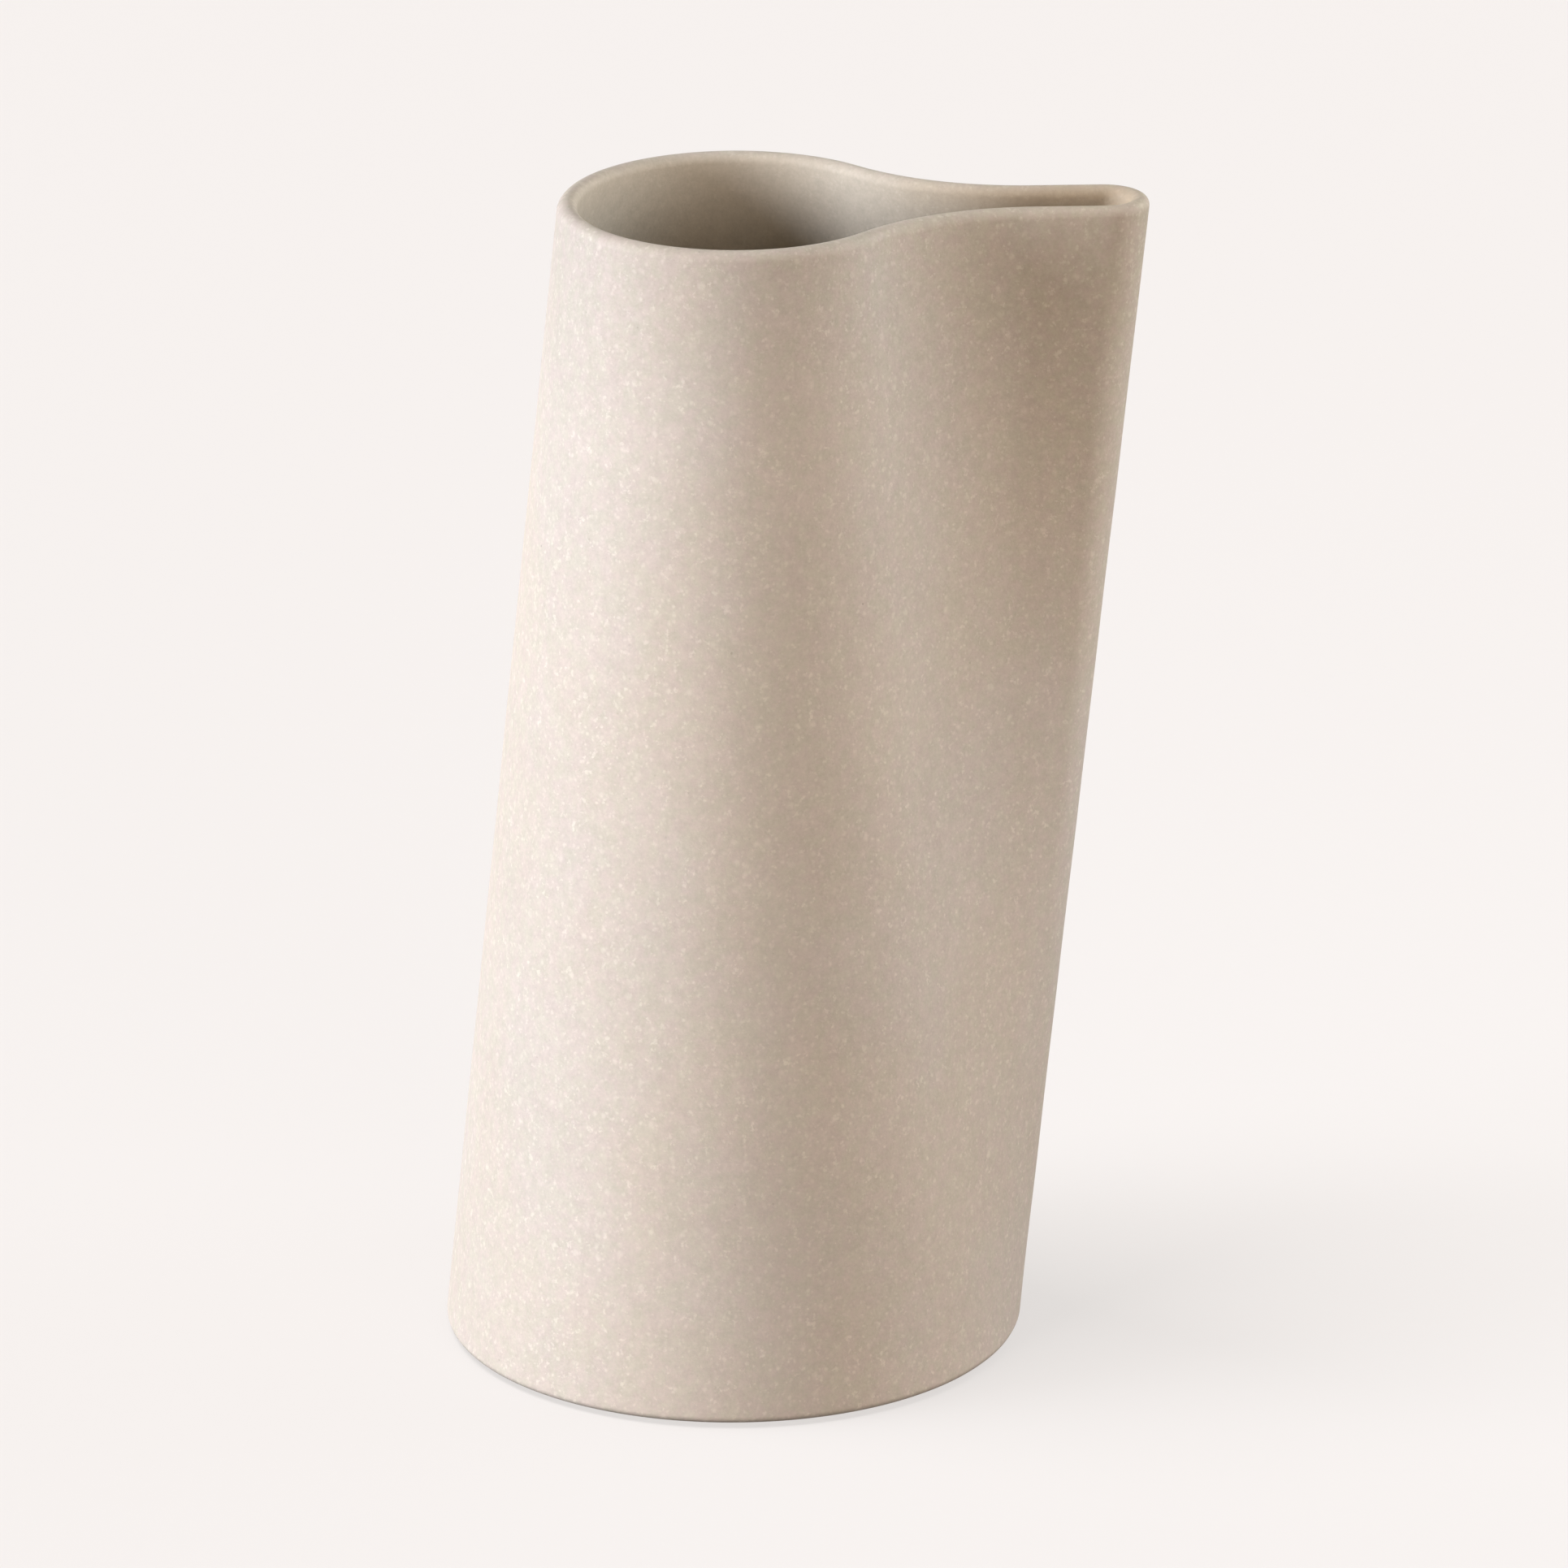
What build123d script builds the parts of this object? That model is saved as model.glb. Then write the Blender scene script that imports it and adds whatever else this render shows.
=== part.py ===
from build123d import *

import os
from math import asin, degrees, sqrt

os.makedirs("parts", exist_ok=True)

# A leaning stoneware vase, built the way a potter luts one together: a thin wall that turns
# from a round base into a keyhole mouth, a floor slab set inside it, a coil of clay worked
# into the seam between them, a foot ring under the slab and a glaze that seals the inside.
#
# Frame: millimetres, +Z up, origin at the middle of the foot on the resting plane.
# The vase leans towards +X, where the slot of the mouth ends, and is the same on both
# sides of the XZ plane.

# ---- Driving dimensions -------------------------------------------------------------

# Outer skin
height = 244.0  # resting plane to the top of the lip
base_diameter = 120.0  # round outline at the resting plane
lean = 25.0  # middle of the mouth, measured along +X from the middle of the base
wall_thickness = 4.2
lip_radius = 2.0  # rounding of each edge of the lip
bottom_edge_radius = 1.8  # rounding of the wall's bottom edge
edge_lift = 0.8  # the wall's bottom edge hangs this far above the table

# Keyhole mouth, measured outside the lip
mouth_length = 120.0
mouth_round_radius = 36.0
slot_half_width = 9.4
waist_radius = 45.0  # hollow curves that lead from the round part into the slot

# Bottom
foot_recess = 2.2  # the slab's underside lies this far above the table
foot_ring_width = 6.0
foot_edge_radius = 0.6
slab_thickness = 6.0
seam_coil_height = 8.0
bowl_radius = 51.0  # round opening left inside the seam coil
bowl_corner_radius = 7.5  # hollow curve of the coil's face, down to the slab

# Lining
glaze_thickness = 0.4
glaze_below_lip = 54.0  # bare rim left above the glaze line

# ---- Derived dimensions -------------------------------------------------------------

base_radius = base_diameter / 2
slab_top = foot_recess + slab_thickness
seam_top = slab_top + seam_coil_height
glaze_top = height - glaze_below_lip
bowl_x = lean * slab_top / height  # the bowl stands under the middle of the wall

# Centres of the mouth's arcs, from the middle of the mouth. The waist arc touches both the
# round part and the straight side of the slot.
round_x = mouth_round_radius - mouth_length / 2
slot_end_x = mouth_length / 2 - slot_half_width
waist_y = slot_half_width + waist_radius
centre_distance = mouth_round_radius + waist_radius
waist_x = round_x + sqrt(centre_distance**2 - waist_y**2)
waist_angle = degrees(asin(waist_y / centre_distance))


# ---- Shapes that the pieces share ---------------------------------------------------

# A builder would join arcs that share a circle, and the wall needs its base and its mouth
# cut into matching edges, so the two outlines are made edge by edge.


def mouth_side(inset):
    """One side of the keyhole, about the mouth's middle, from the round end to the slot end."""
    round_radius = mouth_round_radius - inset
    slot_y = slot_half_width - inset
    half_turn = (waist_angle - 180) / 2
    return [
        CenterArc((round_x, 0), round_radius, 180, half_turn),
        CenterArc((round_x, 0), round_radius, 180 + half_turn, half_turn),
        CenterArc((waist_x, waist_y), waist_radius + inset, 180 + waist_angle, 90 - waist_angle),
        Line((waist_x, slot_y), (slot_end_x, slot_y)),
        CenterArc((slot_end_x, 0), slot_y, 90, -90),
    ]


def base_side(inset):
    """Half of the base circle, cut where the edges of the mouth come down to it.

    The round end comes down as a cone, so its arcs turn as far here as they do in the mouth.
    The waist, the slot's side and its end share the rest of the circle by their lengths, and
    the wall has no creases.
    """
    round_arcs = 2
    edges = mouth_side(inset)
    rest = sum(edge.length for edge in edges[round_arcs:])
    spans = [(180 - waist_angle) / round_arcs] * round_arcs
    spans += [waist_angle * edge.length / rest for edge in edges[round_arcs:]]
    arcs = []
    angle = 180.0
    for span in spans:
        arcs.append(CenterArc((0, 0), base_radius - inset, angle, -span))
        angle -= span
    return arcs


def outline_face(side):
    """Face inside one side of an outline and its mirror image."""
    return Face(Wire(side + [edge.mirror(Plane.XZ) for edge in side]))


def leaning_body(inset):
    """Full-height solid inside the wall surface that lies `inset` behind the outer skin."""
    base = outline_face(base_side(inset))
    mouth = Pos(lean, 0, height) * outline_face(mouth_side(inset))
    with BuildPart() as body:
        loft([base, mouth], ruled=True)
    return body.part


def cut_to_height(low, high):
    """Keep what lies between two heights of the part being built."""
    split(bisect_by=Plane.XY.offset(low), keep=Keep.TOP)
    split(bisect_by=Plane.XY.offset(high), keep=Keep.BOTTOM)


def lowest_edges(builder):
    """Edges of the bottom face of the part being built."""
    return builder.edges().group_by(Axis.Z)[0]


outer_body = leaning_body(0)
inner_body = leaning_body(wall_thickness)
glazed_body = leaning_body(wall_thickness + glaze_thickness)

# ---- Vase wall ----------------------------------------------------------------------

with BuildPart() as vase_wall:
    add(outer_body)
    split(bisect_by=Plane.XY.offset(edge_lift), keep=Keep.TOP)
    fillet(lowest_edges(vase_wall), bottom_edge_radius)
    fillet(vase_wall.edges().group_by(Axis.Z)[-1], lip_radius)
    add(inner_body, mode=Mode.SUBTRACT)
    mouth_edges = vase_wall.faces().sort_by(Axis.Z)[-1].inner_wires()[0].edges()
    fillet(mouth_edges, lip_radius)
vase_wall.part.label = "vase_wall"
export_step(vase_wall.part, "parts/vase_wall.step")

# ---- Base slab ----------------------------------------------------------------------

with BuildPart() as base_slab:
    add(inner_body)
    cut_to_height(foot_recess, slab_top)
base_slab.part.label = "base_slab"
export_step(base_slab.part, "parts/base_slab.step")

# ---- Foot ring ----------------------------------------------------------------------

with BuildPart() as foot_ring:
    add(inner_body)
    cut_to_height(0, foot_recess)
    with BuildSketch(Plane.XY):
        Circle(base_radius - wall_thickness - foot_ring_width)
    extrude(amount=foot_recess, mode=Mode.SUBTRACT)
    fillet(lowest_edges(foot_ring), foot_edge_radius)
foot_ring.part.label = "foot_ring"
export_step(foot_ring.part, "parts/foot_ring.step")

# ---- Hollow of the vase, before and after glazing -----------------------------------


def hollow(body, bowl_inset):
    """Space above the slab: a round bowl inside the coil, then the leaning wall's inside."""
    with BuildPart() as space:
        add(body)
        cut_to_height(seam_top + bowl_inset, glaze_top)
        with BuildSketch(Plane((bowl_x, 0, slab_top + bowl_inset))):
            Circle(bowl_radius - bowl_inset)
        extrude(amount=seam_coil_height)
        fillet(lowest_edges(space), bowl_corner_radius - bowl_inset)
    return space.part


bare_hollow = hollow(inner_body, 0)
glazed_hollow = hollow(glazed_body, glaze_thickness)

# ---- Seam coil ----------------------------------------------------------------------

with BuildPart() as seam_coil:
    add(inner_body)
    cut_to_height(slab_top, seam_top)
    add(bare_hollow, mode=Mode.SUBTRACT)
seam_coil.part.label = "seam_coil"
export_step(seam_coil.part, "parts/seam_coil.step")

# ---- Liner glaze --------------------------------------------------------------------

with BuildPart() as liner_glaze:
    add(bare_hollow)
    add(glazed_hollow, mode=Mode.SUBTRACT)
liner_glaze.part.label = "liner_glaze"
export_step(liner_glaze.part, "parts/liner_glaze.step")
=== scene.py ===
import math
import random

import bpy
import numpy as np
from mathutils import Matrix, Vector


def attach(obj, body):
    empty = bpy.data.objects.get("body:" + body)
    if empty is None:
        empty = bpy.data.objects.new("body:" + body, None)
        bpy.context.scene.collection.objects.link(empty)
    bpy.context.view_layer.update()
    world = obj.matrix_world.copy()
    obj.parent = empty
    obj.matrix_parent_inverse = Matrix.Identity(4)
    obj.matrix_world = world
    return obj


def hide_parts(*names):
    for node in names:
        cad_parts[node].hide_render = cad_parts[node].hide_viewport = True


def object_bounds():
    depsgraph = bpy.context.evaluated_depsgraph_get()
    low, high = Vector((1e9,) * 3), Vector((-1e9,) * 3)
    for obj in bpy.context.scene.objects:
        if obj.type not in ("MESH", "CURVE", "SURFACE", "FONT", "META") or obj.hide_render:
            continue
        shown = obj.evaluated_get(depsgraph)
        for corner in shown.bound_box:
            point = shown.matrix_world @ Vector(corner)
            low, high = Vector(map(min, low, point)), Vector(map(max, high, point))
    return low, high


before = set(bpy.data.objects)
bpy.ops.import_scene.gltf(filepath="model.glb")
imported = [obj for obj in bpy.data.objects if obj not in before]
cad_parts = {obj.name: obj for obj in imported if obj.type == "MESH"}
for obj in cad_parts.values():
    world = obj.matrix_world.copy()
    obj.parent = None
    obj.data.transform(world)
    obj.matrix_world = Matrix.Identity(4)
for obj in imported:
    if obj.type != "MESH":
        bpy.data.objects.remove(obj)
cad_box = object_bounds()

# A leaning stoneware vase on a pale floor. Metres, +Z up, the vase's foot on the floor at
# the origin, its lean and the slot of its mouth towards +X.

MM = 0.001

# ---- Measures of the vase, as in the CAD model ----------------------------------------

FOOT_PLANE = cad_box[0].z
HEIGHT = cad_box[1].z
BASE_RADIUS = 60 * MM
LEAN = 25 * MM
MOUTH_LENGTH = 120 * MM
ROUND_RADIUS = 36 * MM
SLOT_HALF_WIDTH = 9.4 * MM
WAIST_RADIUS = 45 * MM
WALL = 4.2 * MM
EDGE_LIFT = 0.8 * MM
BOTTOM_EDGE_RADIUS = 1.8 * MM

# ---- Fineness of the wall's mesh -------------------------------------------------------

COLUMNS = 512
EDGE_ROWS = 9
OUTSIDE_ROWS = 240
LIP_ROWS = 25
INSIDE_ROWS = 100
RELIEF_STEP = 0.1 * MM  # small inset that tells which way the skin moves inwards

# ---- View ----------------------------------------------------------------------------

LENS = 254.43
SENSOR = 36.0
VIEW_DISTANCE = 2.28025
VIEW_ELEVATION = math.radians(20.242)
VIEW_TURN = math.radians(2.503)
AIM = Vector((0.01076, -0.00047, 0.11841))


def look_from(aim, turn, elevation, distance):
    """Camera place and facing direction for a view of a point."""
    forward = Vector((
        math.sin(turn) * math.cos(elevation),
        math.cos(turn) * math.cos(elevation),
        -math.sin(elevation),
    ))
    return aim - forward * distance, forward


def add_camera():
    data = bpy.data.cameras.new("camera")
    data.lens = LENS
    data.sensor_width = SENSOR
    data.dof.use_dof = False
    camera = bpy.data.objects.new("camera", data)
    place, forward = look_from(AIM, VIEW_TURN, VIEW_ELEVATION, VIEW_DISTANCE)
    camera.location = place
    camera.rotation_euler = forward.to_track_quat("-Z", "Y").to_euler()
    bpy.context.scene.collection.objects.link(camera)
    bpy.context.scene.camera = camera


# ---- Materials -------------------------------------------------------------------------


class Clay:
    """Short way to build a node material whose patterns are sized in metres."""

    def __init__(self, name):
        self.material = bpy.data.materials.new(name)
        self.material.use_nodes = True
        self.tree = self.material.node_tree
        self.shader = self.tree.nodes["Principled BSDF"]
        self.place = self.add("ShaderNodeTexCoord").outputs["Object"]

    def add(self, kind, **settings):
        node = self.tree.nodes.new(kind)
        for key, value in settings.items():
            setattr(node, key, value)
        return node

    def put(self, value, socket):
        """Join a socket, or set a plain value."""
        if isinstance(value, bpy.types.NodeSocket):
            self.tree.links.new(value, socket)
        else:
            socket.default_value = value

    def math(self, operation, *values):
        node = self.add("ShaderNodeMath", operation=operation)
        for value, socket in zip(values, node.inputs):
            self.put(value, socket)
        return node.outputs[0]

    def stretched(self, stretch, shift=0.0):
        """Object coordinates squeezed so that patterns come out `stretch` times as tall.

        Patterns of the same size with another shift have nothing to do with each other.
        """
        node = self.add("ShaderNodeVectorMath", operation="MULTIPLY_ADD")
        self.put(self.place, node.inputs[0])
        node.inputs[1].default_value = (1, 1, 1 / stretch)
        node.inputs[2].default_value = (shift, -shift, shift)
        return node.outputs[0]

    def noise(self, size, detail=2.0, rough=0.5, stretch=1.0, shift=0.0):
        """Cloudy pattern around 0.5 whose patches are about `size` across."""
        node = self.add("ShaderNodeTexNoise")
        self.put(self.stretched(stretch, shift), node.inputs["Vector"])
        node.inputs["Scale"].default_value = 1 / size
        node.inputs["Detail"].default_value = detail
        node.inputs["Roughness"].default_value = rough
        return node.outputs["Fac"]

    def ramp(self, value, low, high, start=0.0, end=1.0):
        """Smooth step from start at low to end at high."""
        node = self.add("ShaderNodeMapRange", interpolation_type="SMOOTHSTEP")
        for socket, amount in zip(node.inputs, (value, low, high, start, end)):
            self.put(amount, socket)
        return node.outputs["Result"]

    def flecks(self, spacing, radius, share, stretch=1.0, wander=0.0):
        """Soft flecks: one in each of a share of the cells, of uneven size, shape and strength."""
        place = self.stretched(stretch)
        if wander:
            bend = self.add("ShaderNodeTexNoise")
            self.put(place, bend.inputs["Vector"])
            bend.inputs["Scale"].default_value = 1.6 / spacing
            bend.inputs["Detail"].default_value = 1.0
            moved = self.add("ShaderNodeVectorMath", operation="MULTIPLY_ADD")
            self.put(bend.outputs["Color"], moved.inputs[0])
            moved.inputs[1].default_value = (wander * spacing,) * 3
            self.put(place, moved.inputs[2])
            place = moved.outputs[0]
        node = self.add("ShaderNodeTexVoronoi", feature="F1")
        self.put(place, node.inputs["Vector"])
        node.inputs["Scale"].default_value = 1 / spacing
        parts = self.add("ShaderNodeSeparateColor")
        self.put(node.outputs["Color"], parts.inputs[0])
        unit = radius / spacing
        reach = self.math("MULTIPLY_ADD", parts.outputs[0], 0.9 * unit, 0.5 * unit)
        blob = self.ramp(self.math("DIVIDE", node.outputs["Distance"], reach), 1.0, 0.2)
        kept = self.math("LESS_THAN", parts.outputs[1], share)
        strength = self.math("MULTIPLY_ADD", parts.outputs[2], 0.75, 0.25)
        return self.math("MULTIPLY", self.math("MULTIPLY", blob, kept), strength)

    def mix(self, factor, first, second, blend="MIX"):
        """From the first colour to the second as the factor goes from 0 to 1."""
        node = self.add("ShaderNodeMix", data_type="RGBA", blend_type=blend)
        colour_a, colour_b = [socket for socket in node.inputs if socket.type == "RGBA"]
        self.put(factor, node.inputs["Factor"])
        self.put(first, colour_a)
        self.put(second, colour_b)
        return next(socket for socket in node.outputs if socket.type == "RGBA")

    def axes(self):
        """The place along the lean, across it and above the floor."""
        parts = self.add("ShaderNodeSeparateXYZ")
        self.put(self.place, parts.inputs[0])
        return parts.outputs

    def tinted(self, colour, tint, factor):
        """The colour multiplied by a tint as far as the factor says."""
        return self.mix(factor, colour, tint, "MULTIPLY")

    def scaled(self, colour, amount):
        node = self.add("ShaderNodeVectorMath", operation="SCALE")
        self.put(colour, node.inputs[0])
        self.put(amount, node.inputs["Scale"])
        return node.outputs[0]

    def bump(self, height, depth, before=None):
        """Relief of a 0 to 1 pattern, `depth` metres deep."""
        node = self.add("ShaderNodeBump")
        node.inputs["Strength"].default_value = 1.0
        node.inputs["Distance"].default_value = depth
        self.put(height, node.inputs["Height"])
        if before is not None:
            self.put(before, node.inputs["Normal"])
        return node.outputs["Normal"]

    def finish(self, colour, roughness, normal, specular):
        self.put(colour, self.shader.inputs["Base Color"])
        self.put(roughness, self.shader.inputs["Roughness"])
        self.put(normal, self.shader.inputs["Normal"])
        self.shader.inputs["Specular IOR Level"].default_value = specular
        return self.material


# Colours of the body. The last two are tints that it is multiplied by.
BODY_PINK = (0.500, 0.413, 0.356, 1)
BODY_OLIVE = (0.480, 0.420, 0.341, 1)
INSIDE = (0.505, 0.430, 0.340, 1)
# Darker colour inside the slot: painted shade in the narrow slot.
INSIDE_SLOT_SHADED = (0.450, 0.360, 0.265, 1)
FLECK = (0.590, 0.556, 0.462, 1)
# Warmer and darker tint towards the slot and upwards: the clay's own warmer colour and painted
# shade.
SLOT_WARMTH_AND_SHADE = (0.890, 0.855, 0.800, 1)
WARMTH = (1.004, 0.990, 0.965, 1)

# Towards the slot and upwards the body turns warmer and darker: partly its own warmer colour,
# partly painted shade on the upper flank. Inside the slot it takes a darker colour, as painted
# shade in the narrow slot. The body is darkened a little towards the lip as painted shade, and
# its bottom edge is darker still as a painted contact shadow.
SLOT_WARMTH_AND_SHADE_ALONG = (28 * MM, 66 * MM)
SLOT_WARMTH_AND_SHADE_UP = (110 * MM, 225 * MM)
LIP_PAINTED_SHADE_UP = (195 * MM, 250 * MM)
LIP_PAINTED_SHADE = 0.90
EDGE_PAINTED_SHADOW_UP = (0.9 * MM, 2.4 * MM)
EDGE_PAINTED_SHADOW = 0.60


def stoneware():
    """Matte beige body with faint mottling, crowded pale flecks, dark specks and pinholes, and
    painted shade towards the slot, the lip and the bottom edge.
    """
    clay = Clay("stoneware_skin")

    # Light and dark of the body, around 1
    cloud = clay.ramp(clay.noise(30 * MM, 3, 0.6, shift=1.0), 0.3, 0.7, -0.015, 0.015)
    mottle = clay.ramp(clay.noise(2.4 * MM, 3, 0.6, shift=5.0), 0.3, 0.7, -0.038, 0.038)
    grain = clay.ramp(clay.noise(0.7 * MM, 3, 0.65), 0.25, 0.75, -0.048, 0.048)
    tone = clay.math("ADD", clay.math("ADD", cloud, mottle), clay.math("ADD", grain, 1.0))

    # Flecks, specks and pinholes, each from 0 to 1
    crowd = clay.ramp(clay.noise(8 * MM, 3, 0.65, shift=8.0), 0.36, 0.62, 0.62, 1.0)
    patches = clay.ramp(clay.noise(1.5 * MM, 3, 0.6, shift=6.0), 0.58, 0.70)
    small = clay.flecks(1.25 * MM, 0.49 * MM, 0.80, 1.05, 0.5)
    large = clay.flecks(2.2 * MM, 0.78 * MM, 0.70, 1.05, 0.5)
    pale = clay.math("MAXIMUM", small, large)
    pale = clay.math("MULTIPLY", clay.math("MAXIMUM", pale, patches), crowd)
    inside = clay.add("ShaderNodeAttribute", attribute_name="inside").outputs["Fac"]
    pale = clay.math("MULTIPLY", pale, clay.math("MULTIPLY_ADD", inside, -0.55, 1.0))
    dark = clay.flecks(2.4 * MM, 0.28 * MM, 0.45, 1.0, 0.2)
    pinhole = clay.flecks(9 * MM, 0.38 * MM, 0.35)

    tone = clay.math("MULTIPLY_ADD", pale, 0.135, tone)
    tone = clay.math("MULTIPLY_ADD", dark, -0.16, tone)
    tone = clay.math("MULTIPLY_ADD", pinhole, -0.60, tone)
    along, _, up = clay.axes()
    # Painted shade: the body darker towards the lip.
    tone = clay.math("MULTIPLY", tone, clay.ramp(up, *LIP_PAINTED_SHADE_UP, 1.0, LIP_PAINTED_SHADE))
    # Painted contact shadow: the lowest millimetres of the wall darker.
    tone = clay.math("MULTIPLY", tone, clay.ramp(up, *EDGE_PAINTED_SHADOW_UP, EDGE_PAINTED_SHADOW, 1.0))

    # Colour
    pink_or_olive = clay.ramp(clay.noise(3.6 * MM, 4, 0.7, shift=3.0), 0.36, 0.64)
    colour = clay.mix(pink_or_olive, BODY_PINK, BODY_OLIVE)
    # Mask of the warmer, darker upper flank by the slot, partly painted shade; inside, it gives the
    # slot its painted shade.
    slot_warmth_and_shade = clay.math("MULTIPLY", clay.ramp(along, *SLOT_WARMTH_AND_SHADE_ALONG), clay.ramp(up, *SLOT_WARMTH_AND_SHADE_UP))
    colour = clay.mix(inside, colour, clay.mix(slot_warmth_and_shade, INSIDE, INSIDE_SLOT_SHADED))
    colour = clay.mix(clay.math("MULTIPLY", pale, 0.22), colour, FLECK)
    colour = clay.tinted(colour, SLOT_WARMTH_AND_SHADE, slot_warmth_and_shade)
    warm = clay.ramp(clay.noise(42 * MM, 3, 0.6, 1.6, shift=9.0), 0.38, 0.62)
    colour = clay.tinted(colour, WARMTH, warm)
    colour = clay.scaled(colour, tone)

    # Gloss and relief
    roughness = clay.ramp(clay.noise(2.2 * MM, 3, 0.6, shift=2.0), 0.3, 0.7, 0.66, 0.82)
    roughness = clay.math("MULTIPLY_ADD", pale, -0.10, roughness)
    normal = clay.bump(clay.noise(1.9 * MM, 3, 0.6, shift=4.0), 0.05 * MM)
    normal = clay.bump(clay.noise(0.45 * MM, 2, 0.6), 0.025 * MM, normal)
    flecks_and_pits = clay.math("MULTIPLY_ADD", pinhole, -6.0, pale)
    normal = clay.bump(flecks_and_pits, 0.02 * MM, normal)
    return clay.finish(colour, roughness, normal, 0.35)


def bare_clay():
    """Unglazed sandy clay, trimmed on the wheel."""
    clay = Clay("bare_clay")
    buff = (0.420, 0.325, 0.235, 1)
    sand = (0.500, 0.410, 0.310, 1)
    patch = clay.noise(7 * MM, 4, 0.65)
    colour = clay.mix(clay.ramp(patch, 0.3, 0.7), buff, sand)
    grog = clay.flecks(1.8 * MM, 0.45 * MM, 0.45, 1.0, 0.4)
    dark = clay.flecks(2.3 * MM, 0.30 * MM, 0.35, 1.0, 0.3)
    rings = clay.add("ShaderNodeTexWave", wave_type="RINGS", rings_direction="Z")
    clay.put(clay.place, rings.inputs["Vector"])
    rings.inputs["Scale"].default_value = 0.35 / (1.6 * MM)
    rings.inputs["Distortion"].default_value = 1.5
    rings.inputs["Detail"].default_value = 2.0
    trim = rings.outputs["Fac"]
    tone = clay.ramp(clay.noise(0.6 * MM, 2, 0.6), 0.25, 0.75, 0.93, 1.07)
    tone = clay.math("MULTIPLY_ADD", grog, 0.16, tone)
    tone = clay.math("MULTIPLY_ADD", dark, -0.22, tone)
    tone = clay.math("MULTIPLY_ADD", trim, 0.04, tone)
    colour = clay.scaled(colour, tone)
    roughness = clay.ramp(patch, 0.3, 0.7, 0.80, 0.92)
    normal = clay.bump(trim, 0.05 * MM)
    normal = clay.bump(clay.noise(0.7 * MM, 3, 0.65), 0.08 * MM, normal)
    return clay.finish(colour, roughness, normal, 0.25)


def liner_glaze():
    """Thin satin glaze in the hollow, milky where it is thick, with the body's flecks under it."""
    clay = Clay("liner_glaze")
    thick = (0.560, 0.510, 0.430, 1)
    thin = (0.430, 0.350, 0.260, 1)
    flow = clay.noise(14 * MM, 4, 0.6, 2.5)
    colour = clay.mix(clay.ramp(flow, 0.32, 0.62), thin, thick)
    fleck = clay.flecks(3.1 * MM, 0.45 * MM, 0.40, 1.1, 0.3)
    tone = clay.ramp(clay.noise(1.6 * MM, 2, 0.5), 0.3, 0.7, 0.96, 1.04)
    tone = clay.math("MULTIPLY_ADD", fleck, -0.25, tone)
    colour = clay.scaled(colour, tone)
    roughness = clay.ramp(flow, 0.3, 0.7, 0.40, 0.28)
    normal = clay.bump(clay.noise(5 * MM, 2, 0.5, 1.5), 0.12 * MM)
    return clay.finish(colour, roughness, normal, 0.5)


# Most of the paper's brightness is its own even glow, so that the shadow on it is faint.
PAPER_COLOUR = (0.07, 0.07, 0.07)
PAPER_GLOW = (0.699, 0.667, 0.647, 1)


def paper():
    """Pale backdrop paper with a barely visible grain."""
    sheet = Clay("floor_paper")
    fibre = sheet.noise(4 * MM, 3, 0.6)
    tone = sheet.ramp(fibre, 0.3, 0.7, 0.995, 1.005)
    colour = sheet.scaled(PAPER_COLOUR, tone)
    roughness = sheet.ramp(fibre, 0.3, 0.7, 0.88, 0.94)
    sheet.shader.inputs["Emission Color"].default_value = PAPER_GLOW
    sheet.shader.inputs["Emission Strength"].default_value = 1.0
    return sheet.finish(colour, roughness, sheet.bump(fibre, 0.01 * MM), 0.0)


# ---- Outline of the vase at any height -------------------------------------------------

ROUND_X = ROUND_RADIUS - MOUTH_LENGTH / 2
SLOT_END_X = MOUTH_LENGTH / 2 - SLOT_HALF_WIDTH
WAIST_Y = SLOT_HALF_WIDTH + WAIST_RADIUS
WAIST_X = ROUND_X + math.sqrt((ROUND_RADIUS + WAIST_RADIUS) ** 2 - WAIST_Y**2)
WAIST_ANGLE = math.asin(WAIST_Y / (ROUND_RADIUS + WAIST_RADIUS))


def mouth_lengths(inset):
    """Lengths of one side of the mouth: round end, waist, side of the slot, end of the slot."""
    return np.array([
        (ROUND_RADIUS - inset) * (math.pi - WAIST_ANGLE),
        (WAIST_RADIUS + inset) * (math.pi / 2 - WAIST_ANGLE),
        SLOT_END_X - WAIST_X,
        (SLOT_HALF_WIDTH - inset) * math.pi / 2,
    ])


def half_mouth(inset, along):
    """Points of one side of the mouth's outline, at fractions 0 to 1 of its length."""
    round_radius = ROUND_RADIUS - inset
    waist_radius = WAIST_RADIUS + inset
    slot_y = SLOT_HALF_WIDTH - inset
    lengths = mouth_lengths(inset)
    ends = np.cumsum(lengths) / lengths.sum()
    starts = np.concatenate([[0], ends[:-1]])
    part = np.clip(np.searchsorted(ends, along), 0, 3)
    share = (along - starts[part]) / (ends - starts)[part]
    round_turn = math.pi + (WAIST_ANGLE - math.pi) * share
    waist_turn = math.pi + WAIST_ANGLE + (math.pi / 2 - WAIST_ANGLE) * share
    end_turn = math.pi / 2 * (1 - share)
    x = np.choose(part, [
        ROUND_X + round_radius * np.cos(round_turn),
        WAIST_X + waist_radius * np.cos(waist_turn),
        WAIST_X + (SLOT_END_X - WAIST_X) * share,
        SLOT_END_X + slot_y * np.cos(end_turn),
    ])
    y = np.choose(part, [
        round_radius * np.sin(round_turn),
        WAIST_Y + waist_radius * np.sin(waist_turn),
        np.full_like(share, slot_y),
        slot_y * np.sin(end_turn),
    ])
    return x, y


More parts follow.
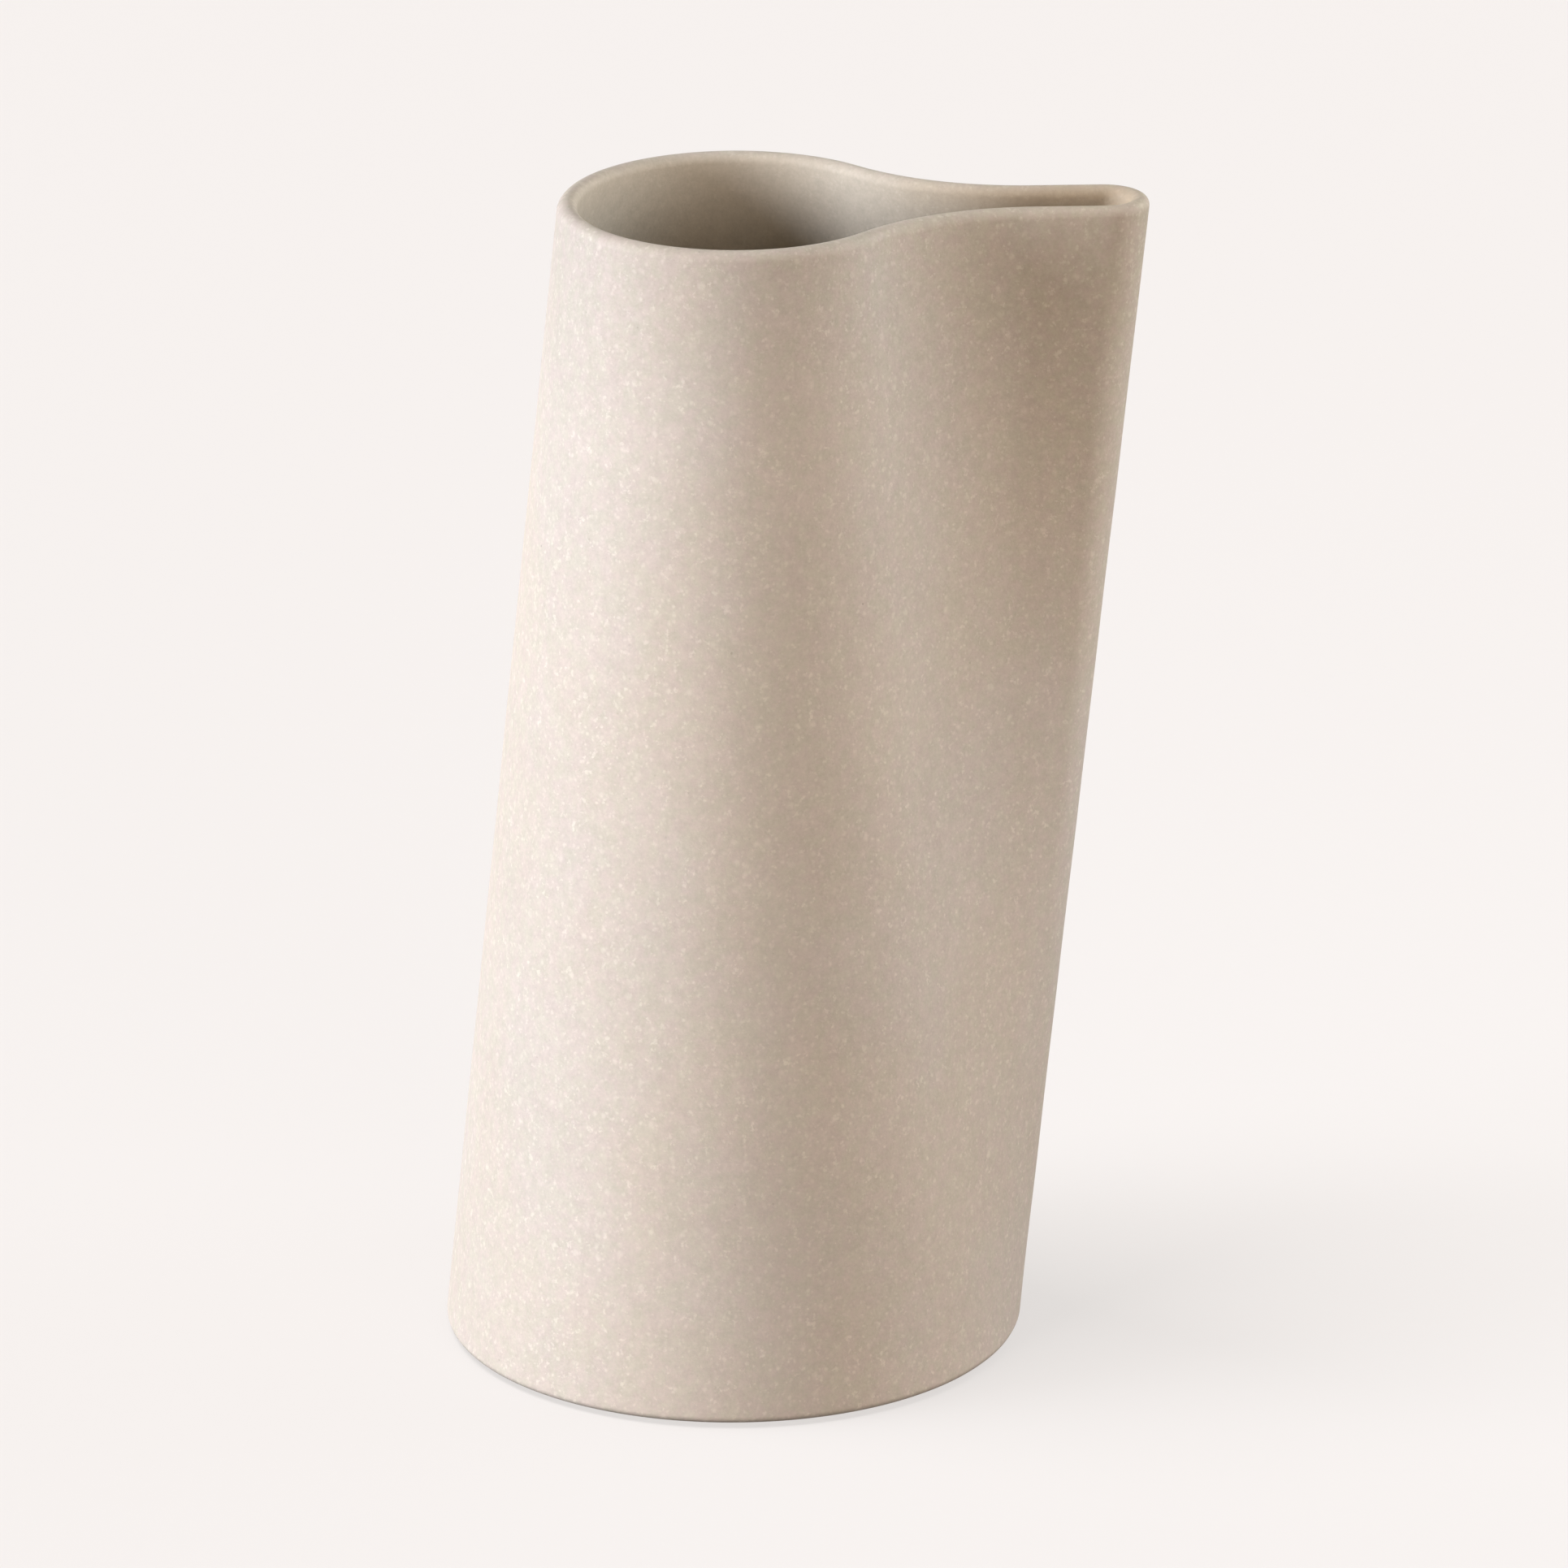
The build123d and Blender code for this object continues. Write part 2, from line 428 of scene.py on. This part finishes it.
def outline(inset, height, around):
    """Points of the level section, `inset` inside the skin; around runs from 0 to 1.

    The round end comes down to the base as a cone; the waist and the slot share the rest.
    """
    side = np.where(around <= 0.5, 1.0, -1.0)
    along = 1 - np.abs(1 - 2 * around)
    mouth_x, mouth_y = half_mouth(inset, along)
    lengths = mouth_lengths(inset)
    round_share = lengths[0] / lengths.sum()
    turn = np.where(
        along <= round_share,
        math.pi - (math.pi - WAIST_ANGLE) * along / round_share,
        WAIST_ANGLE * (1 - along) / (1 - round_share),
    )
    base_x = (BASE_RADIUS - inset) * np.cos(turn)
    base_y = (BASE_RADIUS - inset) * np.sin(turn)
    rise = height / HEIGHT
    x = base_x + (mouth_x - base_x) * rise + LEAN * rise
    y = (base_y + (mouth_y - base_y) * rise) * side
    return np.stack([x, y, np.full_like(x, height)], axis=-1)


RELIEF_DEPTH = 0.14 * MM
RELIEF_WAVES = 9
RELIEF_SEED = 11
MOST_WAVES_AROUND = 11
MOST_WAVES_UP = 7


def relief_waves():
    """Slow waves of a hand-finished skin: (waves around, waves up, start, share of the depth)."""
    chance = random.Random(RELIEF_SEED)
    waves = []
    for _ in range(RELIEF_WAVES):
        around = chance.randint(1, MOST_WAVES_AROUND)
        up = chance.uniform(-MOST_WAVES_UP, MOST_WAVES_UP)
        waves.append((around, up, chance.uniform(0, 2 * math.pi), chance.uniform(0.5, 1.0)))
    whole = sum(wave[3] for wave in waves)
    return [(around, up, start, share / whole) for around, up, start, share in waves]


def relief(around, height, waves):
    """How far the skin lies inside the ideal one, at each point around."""
    turn = 2 * math.pi * around
    total = np.zeros_like(turn)
    for waves_around, waves_up, start, share in waves:
        rise = 2 * math.pi * waves_up * height / HEIGHT
        total += share * (1 + np.sin(waves_around * turn + rise + start)) / 2
    return total * RELIEF_DEPTH


def grid_mesh(name, profile, columns, waves):
    """Closed mesh of rings: the profile gives inset, height, share of relief and how far inside."""
    around = np.arange(columns) / columns
    rings = []
    for inset, height, share, _ in profile:
        depth = share * relief(around, height, waves)
        level = outline(inset, height, around)
        deeper = outline(inset + RELIEF_STEP, height, around)
        rings.append(level + (deeper - level) * (depth / RELIEF_STEP)[:, None])
    rings = np.array(rings)
    rows = len(profile)
    row, column = np.meshgrid(np.arange(rows), np.arange(columns), indexing="ij")
    next_row = (row + 1) % rows
    next_column = (column + 1) % columns
    quads = np.stack([
        row * columns + column,
        row * columns + next_column,
        next_row * columns + next_column,
        next_row * columns + column,
    ], axis=-1).reshape(-1, 4)
    mesh = bpy.data.meshes.new(name)
    mesh.from_pydata(rings.reshape(-1, 3).tolist(), [], quads.tolist())
    mesh.polygons.foreach_set("use_smooth", [True] * len(mesh.polygons))
    inside = mesh.attributes.new("inside", "FLOAT", "POINT")
    inside.data.foreach_set("value", np.repeat([row[3] for row in profile], columns))
    mesh.update()
    piece = bpy.data.objects.new(name, mesh)
    bpy.context.scene.collection.objects.link(piece)
    return piece


def wall_profile():
    """Closed section of the wall: up the outside, over the lip, down the inside."""
    lip = WALL / 2
    edge = BOTTOM_EDGE_RADIUS
    profile = []
    for turn in np.linspace(0, math.pi / 2, EDGE_ROWS)[:-1]:
        share = math.sin(turn)
        profile.append((edge * (1 - share), EDGE_LIFT + edge * (1 - math.cos(turn)), share, 0.0))
    for height in np.linspace(EDGE_LIFT + edge, HEIGHT - lip, OUTSIDE_ROWS):
        profile.append((0.0, height, 1.0, 0.0))
    for turn in np.linspace(0, math.pi, LIP_ROWS)[1:-1]:
        share = (1 + math.cos(turn)) / 2
        inset = lip * (1 - math.cos(turn))
        profile.append((inset, HEIGHT - lip + lip * math.sin(turn), share, (1 - share) ** 2))
    for height in np.linspace(HEIGHT - lip, EDGE_LIFT, INSIDE_ROWS):
        profile.append((WALL, height, 0.0, 1.0))
    return profile


# ---- Pieces --------------------------------------------------------------------------

wall = grid_mesh("wall_skin", wall_profile(), COLUMNS, relief_waves())
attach(wall, "root")
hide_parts("vase_wall")
wall.data.materials.append(stoneware())

# The other four pieces keep their CAD meshes.
CAD_MATERIALS = {
    bare_clay: ("base_slab", "foot_ring", "seam_coil"),
    liner_glaze: ("liner_glaze",),
}
for make_material, nodes in CAD_MATERIALS.items():
    material = make_material()
    for node in nodes:
        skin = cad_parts[node].data
        skin.materials.clear()
        skin.materials.append(material)

# ---- Stage ---------------------------------------------------------------------------

FLOOR_REACH = 12.0

# Broad soft lamps far away. Angles are in degrees: the turn from the camera's side towards
# the right, the height above the floor and the breadth of the lamp in the sky.
SUNS = {
    # name: (turn, height, strength, breadth, colour)
    "key": (280, 12, 5.80, 30, (0.944, 1.015, 1.135)),
    "right_fill": (90, 8, 1.05, 36, (1.030, 0.982, 1.040)),
    "front_fill": (22, 5, 2.67, 40, (1.082, 0.981, 0.885)),
    "top_fill": (0, 85, 0.47, 30, (1.100, 0.970, 0.880)),
    "back_left": (215, 20, 0.85, 50, (1.050, 0.990, 0.900)),
    "back_right": (145, 20, 0.85, 50, (1.050, 0.990, 0.900)),
}

# Lights the paper alone, for the short soft shadow beside the base. Measured as in SUNS.
PAPER_LAMP = (274, 70, 7.55, 32, (1.050, 0.980, 0.960))

# A softbox close by on the right, high up, so that its light fades down the vase.
SOFTBOX_PLACE = Vector((0.38, 0.06, 0.45))
SOFTBOX_AIM = Vector((0.01, 0.0, 0.12))
SOFTBOX_WIDTH = 0.30
SOFTBOX_WATTS = 1.11
SOFTBOX_COLOUR = (0.85, 1.04, 1.15)


def add_floor():
    """Level paper under the vase. It sends no diffuse light back up to the vase."""
    mesh = bpy.data.meshes.new("floor")
    corners = [(-1, -1), (1, -1), (1, 1), (-1, 1)]
    places = [(x * FLOOR_REACH, y * FLOOR_REACH, FOOT_PLANE) for x, y in corners]
    mesh.from_pydata(places, [], [(0, 1, 2, 3)])
    mesh.materials.append(paper())
    floor = bpy.data.objects.new("floor", mesh)
    floor.visible_diffuse = False
    bpy.context.scene.collection.objects.link(floor)
    return floor


def add_sun(name, turn, height, strength, breadth, colour):
    """Broad far lamp, measured as in SUNS."""
    data = bpy.data.lights.new(name, "SUN")
    data.energy = strength
    data.angle = math.radians(breadth)
    data.color = colour
    sun = bpy.data.objects.new(name, data)
    turn, height = math.radians(turn), math.radians(height)
    towards = Vector((
        math.sin(turn) * math.cos(height),
        -math.cos(turn) * math.cos(height),
        math.sin(height),
    ))
    sun.rotation_euler = (-towards).to_track_quat("-Z", "Y").to_euler()
    bpy.context.scene.collection.objects.link(sun)
    return sun


def add_paper_lamp(floor):
    """Lamp that the vase casts its shadow in, but that doesn't light the vase."""
    lamp = add_sun("paper_lamp", *PAPER_LAMP)
    paper_only = bpy.data.collections.new("paper_only")
    paper_only.objects.link(floor)
    lamp.light_linking.receiver_collection = paper_only


def add_softbox():
    data = bpy.data.lights.new("softbox", "AREA")
    data.shape = "DISK"
    data.size = SOFTBOX_WIDTH
    data.energy = SOFTBOX_WATTS
    data.color = SOFTBOX_COLOUR
    softbox = bpy.data.objects.new("softbox", data)
    softbox.location = SOFTBOX_PLACE
    softbox.rotation_euler = (SOFTBOX_AIM - SOFTBOX_PLACE).to_track_quat("-Z", "Y").to_euler()
    softbox.visible_camera = False
    bpy.context.scene.collection.objects.link(softbox)


add_paper_lamp(add_floor())
for name, sun in SUNS.items():
    add_sun(name, *sun)
add_softbox()
add_camera()
bpy.context.scene.view_settings.view_transform = "Standard"
